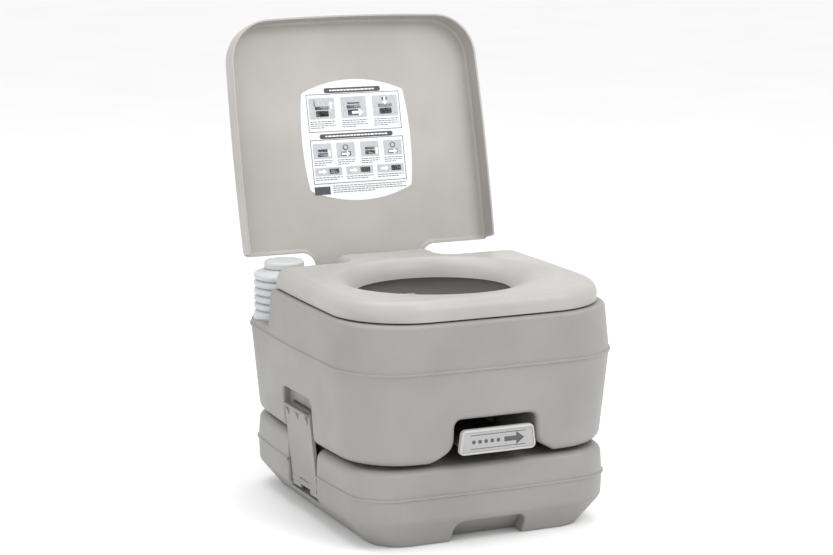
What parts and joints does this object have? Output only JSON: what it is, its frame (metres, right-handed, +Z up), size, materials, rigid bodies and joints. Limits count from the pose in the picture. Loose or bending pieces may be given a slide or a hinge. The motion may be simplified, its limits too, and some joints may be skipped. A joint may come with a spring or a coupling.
{
  "type": "portable camp toilet",
  "caption": "Portable flush toilet for camping: flush tank with bowl, seat, lid and bellows pump, clipped on a waste tank with a slide valve.",
  "frame": {"origin": "middle of the flat face that the waste tank stands on", "axes": "+Z up, +Y to the back of the toilet, +X to the right seen from the front"},
  "size_m": [0.3682, 0.4673, 0.5948],
  "materials": {
    "tank_plastic": "fine satin moulded polyethylene",
    "seat_plastic": "smooth satin moulded plastic",
    "lid_plastic": "satin moulded plastic",
    "label_sheet": "printed film",
    "steel": "plain",
    "valve_plastic": "moulded",
    "handle_plastic": "satin",
    "pump_plastic": "satin",
    "rubber": "matt",
    "clear_hose": "milky",
    "cap_plastic": "satin"
  },
  "bodies": {
    "tanks": {"waste_tank": "tank_plastic", "flush_tank": "tank_plastic", "valve_base": "valve_plastic", "valve_lower_seal": "rubber", "valve_cover": "valve_plastic", "valve_upper_seal": "rubber", "valve_screws": "steel", "hinge_pins": "steel", "latch_pins": "steel", "pump_bellows": "pump_plastic", "pump_collar": "pump_plastic", "pump_body": "pump_plastic", "pump_flap_valves": "rubber", "suction_tube": "clear_hose", "suction_strainer": "pump_plastic", "flush_hose": "clear_hose", "flush_nozzle": "pump_plastic"},
    "seat": {"seat": "seat_plastic", "seat_bumpers": "rubber"},
    "lid": {"lid": "lid_plastic", "lid_label": "label_sheet"},
    "valve_slide": {"valve_blade": "valve_plastic", "valve_handle": "handle_plastic", "valve_handle_label": "label_sheet", "valve_handle_screws": "steel"},
    "latch_left": {"latch_left": "tank_plastic"},
    "latch_right": {"latch_right": "tank_plastic"},
    "pump_plunger": {"pump_cap": "pump_plastic"},
    "fill_seal": {"fill_gasket": "rubber"},
    "fill_cap": {"fill_cap": "cap_plastic"},
    "drain_seal": {"drain_gasket": "rubber"},
    "drain_cap": {"drain_cap": "cap_plastic"}
  },
  "joints": [
    {"name": "lid_hinge", "type": "hinge", "parent": "tanks", "child": "lid", "pos_m": [0, 0.136, 0.262], "axis": [-1, 0, 0], "range_deg": [-104, 0]},
    {"name": "seat_hinge", "type": "hinge", "parent": "tanks", "child": "seat", "pos_m": [0, 0.136, 0.262], "axis": [-1, 0, 0], "range_deg": [0, 95]},
    {"name": "valve_pull", "type": "slide", "parent": "tanks", "child": "valve_slide", "axis": [0, -1, 0], "range_m": [0, 0.11]},
    {"name": "pump_press", "type": "slide", "parent": "tanks", "child": "pump_plunger", "axis": [0, 0, 1], "range_m": [-0.04, 0], "stiffness_N_per_m": 300, "deforming": ["pump_bellows"]},
    {"name": "latch_left_swing", "type": "hinge", "parent": "tanks", "child": "latch_left", "pos_m": [-0.16333, -0.01, 0.042], "axis": [0, -1, 0], "range_deg": [0, 50]},
    {"name": "latch_right_swing", "type": "hinge", "parent": "tanks", "child": "latch_right", "pos_m": [0.16333, -0.01, 0.042], "axis": [0, 1, 0], "range_deg": [0, 50]},
    {"name": "fill_cap_lift", "type": "slide", "parent": "tanks", "child": "fill_seal", "axis": [0, 0, 1], "range_m": [0, 0.008]},
    {"name": "fill_cap_turn", "type": "hinge", "parent": "fill_seal", "child": "fill_cap", "pos_m": [0.133, 0.137, 0.223], "axis": [0, 0, 1], "range_deg": [0, 720]},
    {"name": "drain_cap_lift", "type": "slide", "parent": "tanks", "child": "drain_seal", "axis": [0, 1, 0], "range_m": [0, 0.008]},
    {"name": "drain_cap_turn", "type": "hinge", "parent": "drain_seal", "child": "drain_cap", "pos_m": [0.092, 0.1695, 0.06], "axis": [0, 1, 0], "range_deg": [0, 720]}
  ],
  "couplings": [
    {"joint": "fill_cap_lift", "follows": "fill_cap_turn", "m_per_rad": 0.00063662},
    {"joint": "drain_cap_lift", "follows": "drain_cap_turn", "m_per_rad": 0.00063662}
  ]
}
